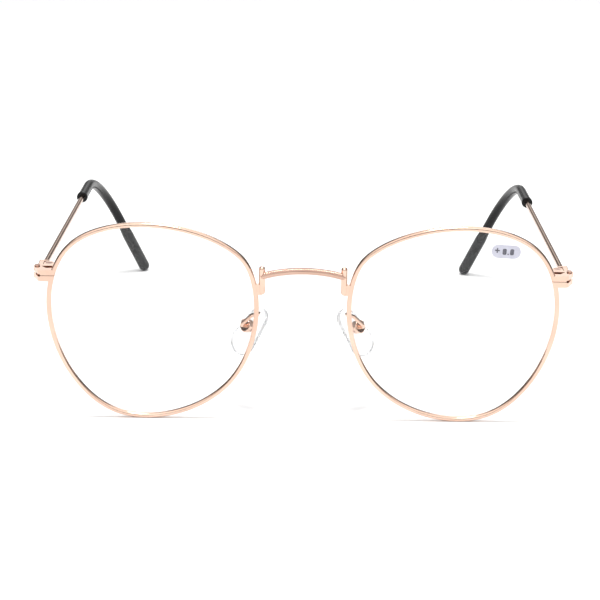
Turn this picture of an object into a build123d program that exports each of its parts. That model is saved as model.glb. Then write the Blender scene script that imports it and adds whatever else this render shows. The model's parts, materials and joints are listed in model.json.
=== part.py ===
from build123d import *
import os
from math import cos, sin, tan, radians, pi

# Reading glasses with temples that fold behind the front.
# Millimetres, +Z up, the front faces -Y and the temples run back along +Y.
# The glasses stand open on a table: the rims' lowest edges and the two temple tips touch Z = 0.
# Left and right are the wearer's: left is +X.  Everything is modelled for the left and mirrored.

# ---- driving dimensions ----
LENS_WIDTH = 50.0          # boxed width of a lens at its bevel
LENS_HEIGHT = 49.35        # boxed height of a lens at its bevel
LENS_GAP = 23.15           # nearest distance between the two lenses
CROWN_3 = 1.0              # outline shaping: broad brow, rounder below
CROWN_3_SIDE = -0.37       # outline shaping: fuller towards the nose
SQUARE_4 = -0.45           # outline shaping: shoulders
CROWN_5 = 0.165            # outline shaping: flatter top
LENS_FRONT_RADIUS = 89.0
LENS_BACK_RADIUS = 196.0
LENS_EDGE = 1.1            # thickness of the lens at its widest point
BEVEL = 0.45               # height of the V bevel round the lens
BEVEL_HALF = 0.35          # half the width of the V bevel
LENS_PLAY = 0.03           # between lens and rim

RIM_THICK = 1.2            # seen from the front
RIM_DEPTH = 1.4            # front to back
RIM_ROUND = 0.54
LEAN = 3.5                 # the top of the front leans forward of the bottom

# places taken from the lenses, so that the fittings follow them
RIM_CENTRE_X = (LENS_WIDTH + LENS_GAP) / 2
RIM_CENTRE_Z = LENS_HEIGHT / 2 + CROWN_3 + RIM_THICK - BEVEL
RIM_SIDE = RIM_CENTRE_X + LENS_WIDTH / 2
RIM_NOSE = LENS_GAP / 2

HINGE_HEIGHT = RIM_CENTRE_Z + 10.8    # hinge level
SLIT = 0.12                # gap between the two halves of the rim's closing block
LOBE_SLOT = 0.6            # wider gap between the ends of the two halves
CLOSE_HEIGHT = 2.9         # whole height of the closing block
CLOSE_REACH = RIM_SIDE + 2.725        # centre of its outer barrel from the middle plane
CLOSE_BARREL = 0.95        # radius of its outer barrel
CLOSE_BACK = 3.4           # the back of its barrel behind the middle of the rim
CLOSE_THICK = 1.65         # front to back, where it leaves the rim
CLOSE_BEND = 2.2           # it turns back this far before the barrel's centre
CLOSE_CORNER = (0.8, 0.35)            # chamfer of its front corner
CLOSE_SCREW = 0.4          # radius of the closing screw
CLOSE_HEAD = 0.62

PIVOT_X = RIM_SIDE + 0.325            # hinge axis from the middle plane
PIVOT_Y = 5.65             # hinge axis behind the middle of the rim
KNUCKLE = 1.2              # outer radius of the hinge knuckles
HINGE_SCREW = 0.5          # radius of the hinge screw
HINGE_HEAD = 0.8
HEAD_THICK = 0.3           # the head is sunk in the upper knuckle
MID_KNUCKLE = 1.0          # height of the temple's knuckle
OUTER_KNUCKLE = 0.55       # height of each of the front's two knuckles
HINGE_PLAY = 0.05          # round the screw and between knuckles
SCREW_PLAY = 0.02          # where a screw is held
BUTT_PLAY = 0.03           # between the faces that stop the temple when it is open
LEAF_HEIGHT = 2.2          # height of the temple's leaf
LEAF_BACK = 1.5            # it ends this far behind the knuckle
LEAF_OUT = 1.35            # its outer face outside the wire's axis
LEAF_IN = 1.05             # its inner face inside it

BAR_X = RIM_SIDE + 1.6     # front end of the temple wire's axis, from the middle plane
BAR_LIFT = 0.2             # its front end above the hinge level
BAR_RADIUS = 0.72
BAR_START = 7.2            # where the wire starts in its leaf
BAR_SLOPE = 1.55           # the wire falls towards the back by this angle
CORNER_Y = 113.3           # where the straight lines of wire and ear end would meet
BEND_RADIUS = 29.0         # of the bend over the ear
TIP_END_X = BAR_X - 12.8   # middle of the rounded end of the ear tip
TIP_END_Y = 128.6
TIP_RADIUS = 1.68          # of the straight end of the tip
TIP_STRAIGHT = 13.0        # length of that end
TIP_FLARE = 4.0            # length over which the sleeve widens to it
SLEEVE_RADIUS = 1.38
LIP_RADIUS = 1.52          # thicker lip at the sleeve's mouth
LIP_LENGTH = 1.8
LIP_ROUND = 0.3
SLEEVE_START = 79.9        # where the plastic sleeve begins
WIRE_END = 7.0             # the wire stops this far above the end of the tip
SLEEVE_PLAY = 0.03

POST_X = RIM_NOSE - 1.675  # bridge post's axis from the middle plane
POST_RADIUS = 0.78
POST_LOW = RIM_CENTRE_Z + 7.2         # its two ends
POST_HIGH = RIM_CENTRE_Z + 12.9
SOLDER_LOW = RIM_CENTRE_Z + 6.5       # foot that joins a post to its rim
SOLDER_HIGH = RIM_CENTRE_Z + 9.1
SOLDER_HALF = 0.55
SOLDER_REACH = 4.0         # the foot is cut back from here to the rim's face
BRIDGE_RADIUS = 0.88
BRIDGE_HEIGHT = RIM_CENTRE_Z + 11.1   # where the bridge meets the posts
BRIDGE_RISE = 2.15         # arch of the bridge upwards
BRIDGE_BOW = 2.0           # and forwards

# where a pad rocks, in the front's own frame
PAD_CENTRE = (RIM_NOSE + 2.0, 6.4, RIM_CENTRE_Z - 4.3)
PAD_UP = (-0.52, -0.08, 0.85)    # long axis of the pad, upwards and towards the nose
PAD_FACE = (-0.79, 0.61, 0.0)    # roughly the way the pad faces the nose
PAD_LENGTH = 13.8
PAD_DROP = 1.4             # middle of the pad below its pivot
PAD_WIDTH = 7.2
PAD_THICK = 1.9
PAD_LIFT = 1.2             # back of the pad above its pivot
CUP_RADIUS = 1.65
CUP_WALL = 0.42
CUP_FLOOR = 1.15           # outside of the cup's floor below the pivot
CUP_RIM = 0.55             # cup's rim above the pivot
PAD_NARROW = 0.72          # its upper end to its lower end
PAD_EDGE_FACE = 0.8        # rounding towards the nose
PAD_EDGE_BACK = 0.35
INSERT_HALF = 0.52
INSERT_LOW = 0.5
PAD_SCREW = 0.3
PAD_HEAD = 0.62
ARM_RADIUS = 0.48
ARM_BEND = 0.75
ARM_STAND = 1.5            # it comes to the cup square over this length
ARM_ROOT = (RIM_NOSE - 0.3, 0.4, RIM_CENTRE_Z + 0.8)    # where it leaves the back of the rim
ARM_STEPS = ((-0.6, 2.9, -0.5), (1.2, 4.2, -1.6))       # its corners from there

LABEL_LENGTH = 7.1
LABEL_WIDTH = 3.1
LABEL_THICK = 0.08
LABEL_PLACE = (11.8, 18.6)       # from the middle of the lens: outwards and up
LABEL_TURN = 5.5

FRONT_TO_WORLD = Location((0, 0, 0), (LEAN, 0, 0))


# ---- helpers ----
def outline_point(angle, grow, depth):
    a = (LENS_WIDTH + LENS_HEIGHT) / 4 - SQUARE_4
    b = (LENS_WIDTH - LENS_HEIGHT) / 4
    reach = a + b * cos(2 * angle) + SQUARE_4 * cos(4 * angle) + grow
    reach += CROWN_3_SIDE * cos(3 * angle) + CROWN_3 * sin(3 * angle) + CROWN_5 * cos(5 * angle)
    slope = -2 * b * sin(2 * angle) - 4 * SQUARE_4 * sin(4 * angle)
    slope += -3 * CROWN_3_SIDE * sin(3 * angle) + 3 * CROWN_3 * cos(3 * angle)
    slope += -5 * CROWN_5 * sin(5 * angle)
    x = RIM_CENTRE_X + reach * cos(angle) - slope * sin(angle)
    z = RIM_CENTRE_Z + reach * sin(angle) + slope * cos(angle)
    return Vector(x, depth, z)


def outline_wire(grow, depth):
    count = 48
    points = [outline_point(2 * pi * i / count, grow, depth) for i in range(count)]
    return Wire([Edge.make_spline(points, periodic=True)])


def prism(grow, low, high):
    return extrude(Face(outline_wire(grow, low)), amount=high - low, dir=(0, 1, 0))


def bevel_ring(grow):
    half = BEVEL_HALF + grow
    wires = [outline_wire(-BEVEL, -half), outline_wire(grow, 0), outline_wire(-BEVEL, half)]
    return Solid.make_loft(wires, ruled=True)


def rod(start, end, radius):
    start = Vector(*start)
    end = Vector(*end)
    way = end - start
    return Solid.make_cylinder(radius, way.length, Plane(origin=start, z_dir=way))


def box(low, high):
    size = [high[i] - low[i] for i in range(3)]
    middle = [(high[i] + low[i]) / 2 for i in range(3)]
    return Pos(*middle) * Box(*size)


# ---- front ----
def rim_ring():
    half = RIM_DEPTH / 2
    ring = prism(RIM_THICK - BEVEL, -half, half) - prism(-BEVEL, -half, half)
    return fillet(ring.edges(), RIM_ROUND)


def rim(ring):
    slit = box((RIM_CENTRE_X + LENS_WIDTH / 4, -RIM_DEPTH, HINGE_HEIGHT - SLIT / 2),
               (RIM_CENTRE_X + LENS_WIDTH, RIM_DEPTH, HINGE_HEIGHT + SLIT / 2))
    return ring - bevel_ring(LENS_PLAY) - slit


def lens_sphere(radius, grow=0.0):
    half_span = LENS_WIDTH / 2
    sag = radius - (radius ** 2 - half_span ** 2) ** 0.5
    edge = -LENS_EDGE / 2 if radius == LENS_FRONT_RADIUS else LENS_EDGE / 2
    centre_y = edge - sag + radius
    return Pos(RIM_CENTRE_X, centre_y, RIM_CENTRE_Z) * Sphere(radius + grow)


def lens():
    blank = prism(-BEVEL - LENS_PLAY, -6, 3) & lens_sphere(LENS_FRONT_RADIUS)
    blank = blank - lens_sphere(LENS_BACK_RADIUS)
    inside = prism(-2 * BEVEL, -LENS_EDGE, LENS_EDGE)
    return blank + (bevel_ring(0) - inside)


def lens_label():
    place = Pos(RIM_CENTRE_X + LABEL_PLACE[0], -8, RIM_CENTRE_Z + LABEL_PLACE[1])
    pill = SlotOverall(LABEL_LENGTH, LABEL_WIDTH)
    pill = extrude(place * Rot(90, 0, 0) * Rot(0, 0, -LABEL_TURN) * pill, amount=8, dir=(0, 1, 0))
    skin = lens_sphere(LENS_FRONT_RADIUS, LABEL_THICK) - lens_sphere(LENS_FRONT_RADIUS)
    return pill & skin


def bridge_post(ring):
    post = rod((POST_X, 0, POST_LOW), (POST_X, 0, POST_HIGH), POST_RADIUS)
    post += Pos(POST_X, 0, POST_HIGH) * Sphere(POST_RADIUS)
    post += Pos(POST_X, 0, POST_LOW) * Sphere(POST_RADIUS)
    post += box((POST_X, -SOLDER_HALF, SOLDER_LOW), (POST_X + SOLDER_REACH, SOLDER_HALF, SOLDER_HIGH))
    post -= prism(RIM_THICK / 2 - BEVEL, -RIM_DEPTH, RIM_DEPTH)
    return post - ring


def bridge(posts):
    left = (POST_X, 0, BRIDGE_HEIGHT)
    right = (-POST_X, 0, BRIDGE_HEIGHT)
    crown = (0, -BRIDGE_BOW, BRIDGE_HEIGHT + BRIDGE_RISE)
    path = Wire([ThreePointArc(left, crown, right).edge()])
    section = Plane(origin=path @ 0, z_dir=path % 0) * Circle(BRIDGE_RADIUS)
    return sweep(section, path=path) - posts[0] - posts[1]


# ---- rim closing block and hinge ----
def closing_half(sign, ring):
    low = HINGE_HEIGHT + sign * SLIT / 2
    high = HINGE_HEIGHT + sign * CLOSE_HEIGHT / 2
    low, high = min(low, high), max(low, high)
    inner = RIM_CENTRE_X + LENS_WIDTH / 4
    centre_y = CLOSE_BACK - CLOSE_BARREL
    front = -RIM_DEPTH / 2
    back = front + CLOSE_THICK
    bend = CLOSE_REACH - CLOSE_BEND
    corner = bend + CLOSE_BARREL
    cut_x, cut_y = CLOSE_CORNER
    outline = ((inner, front), (corner, front), (corner + cut_x, front + cut_y),
               (CLOSE_REACH + CLOSE_BARREL, centre_y), (CLOSE_REACH - CLOSE_BARREL, centre_y),
               (bend, back), (inner, back))
    face = make_face(Polyline(*[(x, y, low) for x, y in outline], close=True).edges())
    bar = extrude(face, amount=high - low, dir=(0, 0, 1))
    bar += rod((CLOSE_REACH, centre_y, low), (CLOSE_REACH, centre_y, high), CLOSE_BARREL)
    bar -= prism(RIM_THICK / 2 - BEVEL, -2 * CLOSE_BACK, 2 * CLOSE_BACK)
    bar -= ring
    bar -= box((CLOSE_REACH - CLOSE_BARREL, -CLOSE_BACK, HINGE_HEIGHT - LOBE_SLOT / 2),
               (CLOSE_REACH + 2 * CLOSE_BARREL, 2 * CLOSE_BACK, HINGE_HEIGHT + LOBE_SLOT / 2))
    hole = rod((CLOSE_REACH, centre_y, low - 1), (CLOSE_REACH, centre_y, high + 1),
               CLOSE_SCREW + SCREW_PLAY)
    return bar - hole


def closing_screw():
    y = CLOSE_BACK - CLOSE_BARREL
    low = HINGE_HEIGHT - CLOSE_HEIGHT / 2
    high = HINGE_HEIGHT + CLOSE_HEIGHT / 2
    screw = rod((CLOSE_REACH, y, low), (CLOSE_REACH, y, high), CLOSE_SCREW)
    screw += rod((CLOSE_REACH, y, high), (CLOSE_REACH, y, high + HEAD_THICK), CLOSE_HEAD)
    slot = box((CLOSE_REACH - 1, y - 0.09, high + 0.18), (CLOSE_REACH + 1, y + 0.09, high + 1))
    return screw - slot


def knuckle_levels():
    inner = MID_KNUCKLE / 2 + HINGE_PLAY
    return inner, inner + OUTER_KNUCKLE


def front_hinge():
    inner, outer = knuckle_levels()
    back = PIVOT_Y - KNUCKLE + BUTT_PLAY
    half = outer + KNUCKLE
    leaf = box((PIVOT_X - KNUCKLE, CLOSE_BACK, HINGE_HEIGHT - outer),
               (CLOSE_REACH + CLOSE_BARREL / 2, back, HINGE_HEIGHT + outer))
    leaf += box((PIVOT_X - KNUCKLE + 0.2, CLOSE_THICK - RIM_DEPTH / 2, HINGE_HEIGHT - outer),
                (PIVOT_X + 0.3, back, HINGE_HEIGHT - SLIT / 2))
    for low, high in ((-outer, -inner), (inner, outer)):
        low += HINGE_HEIGHT
        high += HINGE_HEIGHT
        leaf += rod((PIVOT_X, PIVOT_Y, low), (PIVOT_X, PIVOT_Y, high), KNUCKLE)
        leaf += box((PIVOT_X - KNUCKLE, back - 0.5, low), (PIVOT_X + KNUCKLE, PIVOT_Y, high))
    leaf -= rod((PIVOT_X, PIVOT_Y, HINGE_HEIGHT - inner), (PIVOT_X, PIVOT_Y, HINGE_HEIGHT + inner),
                KNUCKLE + 2 * HINGE_PLAY)
    leaf -= rod((PIVOT_X, PIVOT_Y, HINGE_HEIGHT + outer - HEAD_THICK),
                (PIVOT_X, PIVOT_Y, HINGE_HEIGHT + half), HINGE_HEAD + SCREW_PLAY)
    return leaf - rod((PIVOT_X, PIVOT_Y, HINGE_HEIGHT - half), (PIVOT_X, PIVOT_Y, HINGE_HEIGHT + half),
                      HINGE_SCREW + SCREW_PLAY)


def hinge_screw():
    outer = knuckle_levels()[1]
    low = HINGE_HEIGHT - outer
    high = HINGE_HEIGHT + outer
    screw = rod((PIVOT_X, PIVOT_Y, low), (PIVOT_X, PIVOT_Y, high - HEAD_THICK), HINGE_SCREW)
    screw += rod((PIVOT_X, PIVOT_Y, high - HEAD_THICK), (PIVOT_X, PIVOT_Y, high), HINGE_HEAD)
    slot = box((PIVOT_X - 1, PIVOT_Y - 0.11, high - 0.15), (PIVOT_X + 1, PIVOT_Y + 0.11, high + 1))
    return screw - slot


def temple_hinge(bar):
    low = HINGE_HEIGHT - LEAF_HEIGHT / 2
    high = HINGE_HEIGHT + LEAF_HEIGHT / 2
    front = PIVOT_Y - KNUCKLE + 2 * BUTT_PLAY
    back = PIVOT_Y + KNUCKLE + LEAF_BACK
    outer_x = BAR_X + LEAF_OUT
    clear = PIVOT_X + KNUCKLE + 3 * HINGE_PLAY
    leaf = box((clear, front, low), (outer_x, back, high))
    leaf += box((BAR_X - LEAF_IN, PIVOT_Y + KNUCKLE + 4 * HINGE_PLAY, low), (outer_x, back, high))
    leaf = fillet(leaf.edges().filter_by(Axis.X).group_by(Axis.Y)[-1], 0.6)
    leaf = fillet(leaf.edges().group_by(Axis.Y)[-1], 0.2)
    mid = MID_KNUCKLE / 2
    leaf += rod((PIVOT_X, PIVOT_Y, HINGE_HEIGHT - mid), (PIVOT_X, PIVOT_Y, HINGE_HEIGHT + mid),
                KNUCKLE)
    leaf += box((PIVOT_X, PIVOT_Y - 0.8, HINGE_HEIGHT - mid),
                (outer_x - 0.5, PIVOT_Y + KNUCKLE + 1, HINGE_HEIGHT + mid))
    leaf -= rod((PIVOT_X, PIVOT_Y, HINGE_HEIGHT - CLOSE_HEIGHT),
                (PIVOT_X, PIVOT_Y, HINGE_HEIGHT + CLOSE_HEIGHT), HINGE_SCREW + HINGE_PLAY)
    return (FRONT_TO_WORLD * leaf) - bar


# ---- temples, modelled in the standing frame ----
def temple_points(floor):
    pivot = FRONT_TO_WORLD * Pos(PIVOT_X, PIVOT_Y, HINGE_HEIGHT)
    z0 = pivot.position.Z + BAR_LIFT
    start = Vector(BAR_X, BAR_START, z0 - (BAR_START - PIVOT_Y) * tan(radians(BAR_SLOPE)))
    corner = Vector(BAR_X, CORNER_Y, z0 - (CORNER_Y - PIVOT_Y) * tan(radians(BAR_SLOPE)))
    end = Vector(TIP_END_X, TIP_END_Y, floor + TIP_RADIUS)
    return start, corner, end


def temple_path(floor, first, cut):
    start, corner, end = temple_points(floor)
    along = (corner - start).normalized()
    down = (end - corner).normalized()
    half = radians(along.get_angle(down)) / 2
    reach = BEND_RADIUS * tan(half)
    before = corner - along * reach
    after = corner + down * reach
    inward = (down - along).normalized()
    middle = corner + inward * (BEND_RADIUS / cos(half) - BEND_RADIUS)
    begin = start + along * first
    stop = end - down * cut
    arc = ThreePointArc(before, middle, after)
    return Wire([Line(begin, before).edge(), arc.edge(), Line(after, stop).edge()])


def tube(path, radius):
    section = Plane(origin=path @ 0, z_dir=path % 0) * Circle(radius)
    return sweep(section, path=path)


def temple_bar(floor):
    return tube(temple_path(floor, 0, WIRE_END), BAR_RADIUS)


def temple_tip(floor):
    first = SLEEVE_START - BAR_START
    start, corner, end = temple_points(floor)
    down = (end - corner).normalized()
    neck = TIP_STRAIGHT + TIP_FLARE
    sleeve = tube(temple_path(floor, first, neck), SLEEVE_RADIUS)
    begin = start + (corner - start).normalized() * first
    lip = rod(begin, begin + (corner - start).normalized() * LIP_LENGTH, LIP_RADIUS)
    sleeve += fillet(lip.edges().filter_by(GeomType.CIRCLE), LIP_ROUND)
    widening = Plane(origin=end - down * neck, z_dir=down)
    sleeve += Solid.make_cone(SLEEVE_RADIUS, TIP_RADIUS, TIP_FLARE, widening)
    sleeve += rod(end - down * TIP_STRAIGHT, end, TIP_RADIUS)
    sleeve += Pos(*end) * Sphere(TIP_RADIUS)
    return sleeve - tube(temple_path(floor, 0, WIRE_END - SLEEVE_PLAY), BAR_RADIUS + SLEEVE_PLAY)


# ---- nose pads ----
def pad_plane():
    up = Vector(*PAD_UP).normalized()
    face = Vector(*PAD_FACE)
    face = (face - up * face.dot(up)).normalized()
    return Plane(origin=PAD_CENTRE, x_dir=up, z_dir=face)


def nose_pad():
    half = PAD_WIDTH / 2
    small = half * PAD_NARROW
    top = Pos(PAD_LENGTH / 2 - small, 0) * Circle(small)
    bottom = Pos(half - PAD_LENGTH / 2, 0) * Circle(half)
    shape = make_hull((top + bottom).edges())
    pad = extrude(Pos(-PAD_DROP, 0, PAD_LIFT) * shape, amount=PAD_THICK)
    pad = fillet(pad.edges().group_by(Axis.Z)[-1], PAD_EDGE_FACE)
    pad = fillet(pad.edges().group_by(Axis.Z)[0], PAD_EDGE_BACK)
    return pad_plane() * pad


def pad_insert():
    high = PAD_LIFT
    block = box((-INSERT_HALF, -INSERT_HALF, -INSERT_LOW), (INSERT_HALF, INSERT_HALF, high))
    block -= rod((0, -3, 0), (0, 3, 0), PAD_SCREW + HINGE_PLAY)
    return pad_plane() * block


def pad_box():
    cup = rod((0, 0, -CUP_FLOOR), (0, 0, CUP_RIM), CUP_RADIUS)
    cup = fillet(cup.edges().group_by(Axis.Z)[0], 0.3)
    cup -= rod((0, 0, CUP_WALL - CUP_FLOOR), (0, 0, CUP_RIM + 1), CUP_RADIUS - CUP_WALL)
    cup -= rod((0, -3, 0), (0, 3, 0), PAD_SCREW + SCREW_PLAY)
    return pad_plane() * cup


def pad_screw():
    screw = rod((0, -CUP_RADIUS + 0.1, 0), (0, CUP_RADIUS, 0), PAD_SCREW)
    head = rod((0, CUP_RADIUS - 0.02, 0), (0, CUP_RADIUS + 0.45, 0), PAD_HEAD)
    return pad_plane() * (screw + head)


def pad_arm(cup, ring):
    plane = pad_plane()
    foot = plane.from_local_coords(Vector(0, 0, CUP_WALL / 2 - CUP_FLOOR))
    stand = plane.from_local_coords(Vector(0, 0, -CUP_FLOOR - ARM_STAND))
    root = Vector(*ARM_ROOT)
    loop = [root + Vector(*step) for step in ARM_STEPS]
    path = FilletPolyline(root, *loop, stand, foot, radius=ARM_BEND)
    arm = tube(Wire(path.edges()), ARM_RADIUS)
    return arm - ring - cup


def main():
    os.makedirs("parts", exist_ok=True)
    ring = rim_ring()
    floor = (FRONT_TO_WORLD * ring).bounding_box().min.Z
    post = bridge_post(ring)
    cup = pad_box()
    bar = temple_bar(floor)
    front = {
        "rim": rim(ring),
        "lens": lens(),
        "bridge_post": post,
        "closing_block_upper": closing_half(1, ring),
        "closing_block_lower": closing_half(-1, ring),
        "closing_screw": closing_screw(),
        "front_hinge": front_hinge(),
        "hinge_screw": hinge_screw(),
        "pad_arm": pad_arm(cup, ring),
        "pad_box": cup,
        "pad_screw": pad_screw(),
        "pad_insert": pad_insert(),
        "nose_pad": nose_pad(),
    }
    left = {name: FRONT_TO_WORLD * shape for name, shape in front.items()}
    left["temple_hinge"] = temple_hinge(bar)
    left["temple_bar"] = bar
    left["temple_tip"] = temple_tip(floor)
    nodes = {}
    for name, shape in left.items():
        nodes[name + "_left"] = shape
        nodes[name + "_right"] = mirror(shape, about=Plane.YZ)
    posts = [post, mirror(post, about=Plane.YZ)]
    nodes["bridge"] = FRONT_TO_WORLD * bridge(posts)
    nodes["lens_label"] = FRONT_TO_WORLD * lens_label()
    boxes = [shape.bounding_box() for shape in nodes.values()]
    front_y = min(b.min.Y for b in boxes)
    back_y = max(b.max.Y for b in boxes)
    shift = Pos(0, -(front_y + back_y) / 2, -floor)
    for name, shape in nodes.items():
        export_step(shift * shape, f"parts/{name}.step")
    print("shift", shift.position, "floor", floor)


if __name__ == "__main__":
    main()
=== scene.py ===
import json
import math

import bpy
from mathutils import Matrix, Vector

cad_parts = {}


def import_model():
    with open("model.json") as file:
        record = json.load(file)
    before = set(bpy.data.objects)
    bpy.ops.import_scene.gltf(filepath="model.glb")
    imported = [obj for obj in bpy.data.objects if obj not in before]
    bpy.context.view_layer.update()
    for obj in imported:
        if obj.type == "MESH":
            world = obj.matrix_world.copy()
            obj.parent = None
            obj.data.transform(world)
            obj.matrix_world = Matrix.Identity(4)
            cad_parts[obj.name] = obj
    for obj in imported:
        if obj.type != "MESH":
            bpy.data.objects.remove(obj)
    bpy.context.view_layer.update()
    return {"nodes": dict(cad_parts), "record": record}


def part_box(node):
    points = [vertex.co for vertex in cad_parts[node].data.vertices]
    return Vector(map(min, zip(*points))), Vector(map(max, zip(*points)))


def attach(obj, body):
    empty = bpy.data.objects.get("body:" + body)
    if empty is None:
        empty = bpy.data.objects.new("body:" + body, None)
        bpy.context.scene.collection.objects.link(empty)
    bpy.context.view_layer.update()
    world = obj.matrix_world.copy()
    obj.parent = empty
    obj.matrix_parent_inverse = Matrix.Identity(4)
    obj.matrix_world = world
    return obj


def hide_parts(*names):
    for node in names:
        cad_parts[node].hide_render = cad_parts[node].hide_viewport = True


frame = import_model()
nodes = frame["nodes"]

# ---- sizes and places, in metres and degrees ----
MM = 0.001
TILT = Matrix.Rotation(math.radians(3.5), 3, "X")      # the front leans forward at the top
FRONT_FOOT = Vector((0, -62.1876 * MM, 0.0108 * MM))   # where the front's own frame stands

CAMERA_DISTANCE = 445 * MM
CAMERA_ELEVATION = math.radians(17.3)
CAMERA_AZIMUTH = math.radians(0.19)
CAMERA_ROLL = math.radians(0.66)
CAMERA_LENS = 109.9                       # focal length in millimetres, on the sensor below
CAMERA_SENSOR = 36.0
CAMERA_CLIP = (0.01, 20.0)
LOOK_AT = Vector((-0.7 * MM, FRONT_FOOT.y, 30.9 * MM))

BRIDGE_END_X = 9.9 * MM
BRIDGE_HEIGHT = 37.525 * MM
BRIDGE_RISE = 2.15 * MM
BRIDGE_BOW = 2.0 * MM
BRIDGE_RADIUS = 0.86 * MM
RIDGE_PITCH = 0.42 * MM                   # of the milling along the bridge
RIDGE_DEPTH = 0.11 * MM
RIDGE_STEPS = 6                           # rings of the mesh in one ridge
RIDGE_FLATNESS = 0.6                      # below 1 the ridges are flat and the grooves narrow
BRIDGE_SIDES = 28
ARC_EXTRA = 1.05                          # the arch is about this much longer than its chord

LENS_RADIUS = 89.0 * MM                   # front surface of the lens
LENS_CENTRE_BACK = 84.87 * MM             # its centre behind the rim, in the front's own frame
LENS_CENTRE_UP = 26.425 * MM
LENS_CENTRE_SIDE = 36.575 * MM
LABEL_THICK = 0.08 * MM
MARK_THICK = 0.03 * MM
LABEL_TURN = math.radians(5.5)
# generic marks in millimetres from the label's middle
MARK_PLUS = (-2.2, 0.2, 1.15, 0.3)        # across, along, size, stroke
MARK_BLOCKS = (                           # name, across, along, width, height, corner radius
    ("label_mark_block_1", -0.42, 0, 0.95, 1.4, 0.3),
    ("label_mark_dot", 0.5, -0.55, 0.32, 0.32, 0.14),
    ("label_mark_block_2", 1.4, 0, 0.95, 1.4, 0.3),
)
CORNER_STEPS = 4                          # segments in the quarter circle of a block's corner

SKY_STRENGTH = 1.0
SKY_BASE = 0.62
# bright and dark parts of the studio: aim, inner and outer angle, grey
SKY_BLOBS = (
    ((0, -0.6, 0.8), 25, 60, 1.5),
    ((0.5, 0.75, 0.34), 18, 34, 0.01),
    ((-0.5, 0.75, 0.34), 18, 34, 0.01),
    ((0.95, -0.1, 0.25), 16, 30, 0.05),
    ((-0.95, -0.1, 0.25), 16, 30, 0.05),
    ((0, -0.95, -0.1), 10, 24, 0.06),
    ((0, -0.72, 0.55), 3, 12, 3.2),
    ((0, 0.80, 0.55), 10, 22, 1.6),
)
# place, size and power of each soft light
KEY_LIGHT = ((0, -0.1, 0.6), 0.16, 2.0)
BACK_LIGHT = ((0.2, 0.5, 0.6), 0.4, 0.6)
FLOOR_HALF = 3.0
NOISE_RANGE = (0.3, 0.7)                  # the part of a noise that ramps and spreads use


# ---- node materials ----
def new_material(name):
    material = bpy.data.materials.new(name)
    material.use_nodes = True
    tree = material.node_tree
    shader = tree.nodes["Principled BSDF"]
    return material, tree, shader


def noise(tree, scale, detail=3.0):
    coords = tree.nodes.new("ShaderNodeTexCoord")
    texture = tree.nodes.new("ShaderNodeTexNoise")
    texture.inputs["Scale"].default_value = scale
    texture.inputs["Detail"].default_value = detail
    tree.links.new(coords.outputs["Object"], texture.inputs["Vector"])
    return texture.outputs["Fac"]


def ramp(tree, factor, low, high):
    node = tree.nodes.new("ShaderNodeValToRGB")
    for stop, position, colour in zip(node.color_ramp.elements, NOISE_RANGE, (low, high)):
        stop.position = position
        stop.color = (*colour, 1)
    tree.links.new(factor, node.inputs["Fac"])
    return node.outputs["Color"]


def spread(tree, factor, low, high):
    node = tree.nodes.new("ShaderNodeMapRange")
    node.inputs["From Min"].default_value, node.inputs["From Max"].default_value = NOISE_RANGE
    node.inputs["To Min"].default_value = low
    node.inputs["To Max"].default_value = high
    tree.links.new(factor, node.inputs["Value"])
    return node.outputs["Result"]


def bump(tree, shader, height, distance, strength):
    node = tree.nodes.new("ShaderNodeBump")
    node.inputs["Distance"].default_value = distance
    node.inputs["Strength"].default_value = strength
    tree.links.new(height, node.inputs["Height"])
    tree.links.new(node.outputs["Normal"], shader.inputs["Normal"])


def metal(name, low, high, rough_low, rough_high):
    material, tree, shader = new_material(name)
    patches = noise(tree, 90)
    tree.links.new(ramp(tree, patches, low, high), shader.inputs["Base Color"])
    roughness = spread(tree, noise(tree, 400), rough_low, rough_high)
    tree.links.new(roughness, shader.inputs["Roughness"])
    shader.inputs["Metallic"].default_value = 1.0
    bump(tree, shader, noise(tree, 1500, detail=2.0), 0.004 * MM, 0.6)
    return material


def black_plastic():
    material, tree, shader = new_material("tip_gloss_black")
    cloud = noise(tree, 120)
    tree.links.new(ramp(tree, cloud, (0.005, 0.005, 0.0055), (0.009, 0.0088, 0.0095)),
                   shader.inputs["Base Color"])
    tree.links.new(spread(tree, noise(tree, 350), 0.2, 0.3), shader.inputs["Roughness"])
    shader.inputs["Specular IOR Level"].default_value = 0.16
    shader.inputs["Coat Weight"].default_value = 0.08
    shader.inputs["Coat Roughness"].default_value = 0.12
    bump(tree, shader, noise(tree, 700), 0.01 * MM, 0.5)
    return material


def lens_plastic():
    material, tree, shader = new_material("lens_clear")
    tint = ramp(tree, noise(tree, 25), (0.93, 0.96, 1.0), (1.0, 1.0, 1.0))
    tree.links.new(tint, shader.inputs["Base Color"])
    tree.links.new(spread(tree, noise(tree, 60), 0.02, 0.05), shader.inputs["Roughness"])
    shader.inputs["Alpha"].default_value = 0.02
    shader.inputs["IOR"].default_value = 1.5
    return material


def clear_plastic(name, ior, rough_low, rough_high, clear):
    material, tree, shader = new_material(name)
    tint = ramp(tree, noise(tree, 200), (0.93, 0.94, 0.95), (0.99, 0.99, 1.0))
    tree.links.new(tint, shader.inputs["Base Color"])
    tree.links.new(spread(tree, noise(tree, 500), rough_low, rough_high), shader.inputs["Roughness"])
    shader.inputs["Transmission Weight"].default_value = clear
    shader.inputs["IOR"].default_value = ior
    return material


def label_paper():
    material, tree, shader = new_material("label_film")
    tint = ramp(tree, noise(tree, 1200), (0.50, 0.50, 0.58), (0.56, 0.56, 0.64))
    tree.links.new(tint, shader.inputs["Base Color"])
    tree.links.new(spread(tree, noise(tree, 900), 0.4, 0.55), shader.inputs["Roughness"])
    bump(tree, shader, noise(tree, 4000), 0.005 * MM, 0.5)
    return material


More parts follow.
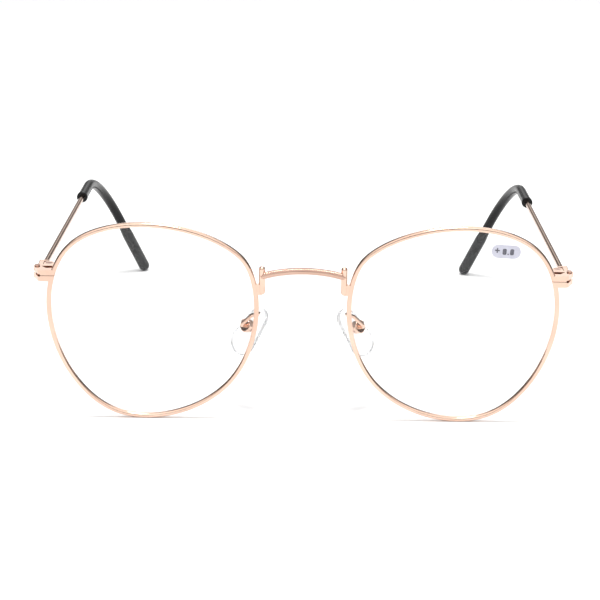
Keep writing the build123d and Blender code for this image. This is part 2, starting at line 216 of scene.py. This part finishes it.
def label_ink():
    material, tree, shader = new_material("label_ink")
    tint = ramp(tree, noise(tree, 3000), (0.09, 0.09, 0.11), (0.14, 0.14, 0.17))
    tree.links.new(tint, shader.inputs["Base Color"])
    tree.links.new(spread(tree, noise(tree, 900), 0.5, 0.65), shader.inputs["Roughness"])
    return material


# the material of each slot in the record
LOOKS = {
    "rose_metal": metal("rose_gold", (0.70, 0.48, 0.375), (0.80, 0.58, 0.465), 0.07, 0.16),
    "screw": metal("screw_metal", (0.50, 0.33, 0.27), (0.62, 0.43, 0.36), 0.2, 0.34),
    "tip": black_plastic(),
    "lens": lens_plastic(),
    "pad": clear_plastic("pad_silicone", 1.3, 0.24, 0.34, 0.86),
    "pad_insert": clear_plastic("pad_insert_plastic", 1.4, 0.03, 0.08, 0.95),
    "label": label_paper(),
}
# the bridge's milled rose gold: its base colour is set darker than the rim's as painted shade, for
# the darker top and the shade of the milled bridge
MILLED_SHADED_METAL = metal("milled_rose_gold_painted_shade", (0.50, 0.32, 0.245), (0.65, 0.44, 0.355), 0.12, 0.22)
INK = label_ink()


def dress_nodes():
    for part in frame["record"]["subparts"]:
        node = nodes[part["node"]]
        look = LOOKS[part["material_slot"]]
        if not node.material_slots:
            node.data.materials.append(None)
        for place in node.material_slots:
            place.link = "OBJECT"
            place.material = look


# ---- mesh helpers ----
def front_point(x, y, z):
    """A point of the front's own upright frame, in the row frame."""
    return TILT @ Vector((x, y, z)) + FRONT_FOOT


def make_object(name, points, faces, material, body, smooth=True):
    mesh = bpy.data.meshes.new(name)
    mesh.from_pydata([tuple(p) for p in points], [], faces)
    mesh.validate()
    if smooth:
        mesh.shade_smooth()
    else:
        mesh.shade_flat()
    mesh.materials.append(material)
    piece = bpy.data.objects.new(name, mesh)
    bpy.context.collection.objects.link(piece)
    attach(piece, body)
    return piece


def arc_through(start, crown, end, count):
    """Points of the circular arc from start over crown to end."""
    a, b = start - crown, end - crown
    normal = a.cross(b)
    towards = b.length_squared * normal.cross(a) + a.length_squared * b.cross(normal)
    centre = crown + towards / (2 * normal.length_squared)
    first, last = start - centre, end - centre
    turn = first.angle(last)
    axis = first.cross(last).normalized()
    return [centre + Matrix.Rotation(turn * i / (count - 1), 3, axis) @ first for i in range(count)]


def tube_mesh(path, radii, around):
    """A closed tube of round rings, one on each point of the path, with the radii given."""
    points, faces = [], []
    for i, centre in enumerate(path):
        way = (path[min(i + 1, len(path) - 1)] - path[max(i - 1, 0)]).normalized()
        side = way.cross(Vector((0, 1, 0))).normalized()
        up = side.cross(way)
        for j in range(around):
            angle = 2 * math.pi * j / around
            points.append(centre + (side * math.cos(angle) + up * math.sin(angle)) * radii[i])
    for i in range(len(path) - 1):
        for j in range(around):
            k = (j + 1) % around
            a, b = i * around, (i + 1) * around
            faces.append((a + j, a + k, b + k, b + j))
    faces.append(tuple(reversed(range(around))))
    faces.append(tuple(range(len(points) - around, len(points))))
    return points, faces


# ---- bridge with its milling ----
def milled_bridge():
    start = front_point(-BRIDGE_END_X, 0, BRIDGE_HEIGHT)
    end = front_point(BRIDGE_END_X, 0, BRIDGE_HEIGHT)
    crown = front_point(0, -BRIDGE_BOW, BRIDGE_HEIGHT + BRIDGE_RISE)
    length = 2 * BRIDGE_END_X * ARC_EXTRA
    count = int(length / RIDGE_PITCH) * RIDGE_STEPS + 1
    path = arc_through(start, crown, end, count)
    radii = []
    for i in range(count):
        wave = abs(math.sin(math.pi * i / RIDGE_STEPS))
        radii.append(BRIDGE_RADIUS - RIDGE_DEPTH * (1 - wave ** RIDGE_FLATNESS))
    points, faces = tube_mesh(path, radii, BRIDGE_SIDES)
    piece = make_object("bridge_milled", points, faces, MILLED_SHADED_METAL, "front")
    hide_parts("bridge")


# ---- generic marks printed on the lens label ----
def lens_surface(across, along, lift):
    """A point lift above the front of the lens, from the label's middle, in its own turned axes."""
    low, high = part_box("lens_label")
    out = TILT @ Vector((0, -1, 0))
    front_up = TILT @ Vector((0, 0, 1))
    right = Vector((1, 0, 0)) * math.cos(LABEL_TURN) - front_up * math.sin(LABEL_TURN)
    up = Vector((1, 0, 0)) * math.sin(LABEL_TURN) + front_up * math.cos(LABEL_TURN)
    centre = front_point(LENS_CENTRE_SIDE, LENS_CENTRE_BACK, LENS_CENTRE_UP)
    start = (low + high) / 2 + right * across + up * along
    aside = start - centre
    flat = aside - out * aside.dot(out)
    reach = LENS_RADIUS + lift
    return centre + flat + out * math.sqrt(reach ** 2 - flat.length_squared)


def mark(name, outline):
    """A thin printed shape on the label: outline is a list of (across, along) in millimetres."""
    points = []
    for lift in (LABEL_THICK - MARK_THICK / 2, LABEL_THICK + MARK_THICK):
        points += [lens_surface(x * MM, y * MM, lift) for x, y in outline]
    count = len(outline)
    faces = [tuple(reversed(range(count))), tuple(range(count, 2 * count))]
    faces += [(i, (i + 1) % count, count + (i + 1) % count, count + i) for i in range(count)]
    make_object(name, points, faces, INK, "front", smooth=False)


def round_box(cx, cy, width, height, corner):
    outline = []
    for sx, sy, first in ((1, 1, 0), (-1, 1, 90), (-1, -1, 180), (1, -1, 270)):
        for step in range(CORNER_STEPS + 1):
            angle = math.radians(first + 90 / CORNER_STEPS * step)
            outline.append((cx + sx * (width / 2 - corner) + corner * math.cos(angle),
                            cy + sy * (height / 2 - corner) + corner * math.sin(angle)))
    return outline


def plus(cx, cy, size, stroke):
    a, b = size / 2, stroke / 2
    corners = ((a, b), (b, b), (b, a), (-b, a), (-b, b), (-a, b),
               (-a, -b), (-b, -b), (-b, -a), (b, -a), (b, -b), (a, -b))
    return [(cx + x, cy + y) for x, y in corners]


def label_marks():
    mark("label_mark_plus", plus(*MARK_PLUS))
    for name, *sizes in MARK_BLOCKS:
        mark(name, round_box(*sizes))


dress_nodes()
milled_bridge()
label_marks()


# ---- floor, light and camera ----
def floor():
    corners = [(x * FLOOR_HALF, y * FLOOR_HALF, 0) for x, y in ((-1, -1), (1, -1), (1, 1), (-1, 1))]
    mesh = bpy.data.meshes.new("floor")
    mesh.from_pydata(corners, [], [(0, 1, 2, 3)])
    piece = bpy.data.objects.new("floor", mesh)
    bpy.context.collection.objects.link(piece)
    material, tree, shader = new_material("floor_paper")
    tree.links.new(ramp(tree, noise(tree, 4), (0.96, 0.96, 0.96), (0.98, 0.98, 0.98)),
                   shader.inputs["Base Color"])
    shader.inputs["Roughness"].default_value = 0.9
    shader.inputs["Specular IOR Level"].default_value = 0.1
    mesh.materials.append(material)


def blob(tree, coords, aim, inner, outer):
    """1 near a direction of the sky, fading to 0: angles in degrees from that direction."""
    dot = tree.nodes.new("ShaderNodeVectorMath")
    dot.operation = "DOT_PRODUCT"
    dot.inputs[1].default_value = Vector(aim).normalized()
    tree.links.new(coords, dot.inputs[0])
    fade = tree.nodes.new("ShaderNodeMapRange")
    fade.interpolation_type = "SMOOTHSTEP"
    fade.inputs["From Min"].default_value = math.cos(math.radians(outer))
    fade.inputs["From Max"].default_value = math.cos(math.radians(inner))
    tree.links.new(dot.outputs["Value"], fade.inputs["Value"])
    return fade.outputs["Result"]


def world():
    sky = bpy.data.worlds.new("studio")
    bpy.context.scene.world = sky
    sky.use_nodes = True
    tree = sky.node_tree
    background = tree.nodes["Background"]
    background.inputs["Strength"].default_value = SKY_STRENGTH
    coords = tree.nodes.new("ShaderNodeTexCoord").outputs["Generated"]
    colour = None
    for aim, inner, outer, grey in SKY_BLOBS:
        shade = tree.nodes.new("ShaderNodeMix")
        shade.data_type = "RGBA"
        if colour is None:
            shade.inputs["A"].default_value = (SKY_BASE, SKY_BASE, SKY_BASE, 1)
        else:
            tree.links.new(colour, shade.inputs["A"])
        shade.inputs["B"].default_value = (grey, grey, grey, 1)
        tree.links.new(blob(tree, coords, aim, inner, outer), shade.inputs["Factor"])
        colour = shade.outputs["Result"]
    tree.links.new(colour, background.inputs["Color"])


def soft_light(name, place, size, power):
    lamp = bpy.data.lights.new(name, "AREA")
    lamp.shape = "DISK"
    lamp.size = size
    lamp.energy = power
    light = bpy.data.objects.new(name, lamp)
    light.location = place
    light.rotation_euler = (LOOK_AT - Vector(place)).to_track_quat("-Z", "Y").to_euler()
    bpy.context.collection.objects.link(light)


def camera():
    lens = bpy.data.cameras.new("camera")
    lens.lens = CAMERA_LENS
    lens.sensor_width = CAMERA_SENSOR
    lens.clip_start, lens.clip_end = CAMERA_CLIP
    eye = bpy.data.objects.new("camera", lens)
    back = Vector((math.sin(CAMERA_AZIMUTH) * math.cos(CAMERA_ELEVATION),
                   -math.cos(CAMERA_AZIMUTH) * math.cos(CAMERA_ELEVATION),
                   math.sin(CAMERA_ELEVATION)))
    right = Vector((0, 0, 1)).cross(back).normalized()
    up = back.cross(right)
    rolled_right = right * math.cos(CAMERA_ROLL) + up * math.sin(CAMERA_ROLL)
    rolled_up = up * math.cos(CAMERA_ROLL) - right * math.sin(CAMERA_ROLL)
    turn = Matrix((rolled_right, rolled_up, back)).transposed()
    eye.matrix_world = Matrix.Translation(LOOK_AT + back * CAMERA_DISTANCE) @ turn.to_4x4()
    bpy.context.collection.objects.link(eye)
    bpy.context.scene.camera = eye


floor()
world()
soft_light("key", *KEY_LIGHT)
soft_light("back", *BACK_LIGHT)
camera()
bpy.context.scene.view_settings.view_transform = "Standard"
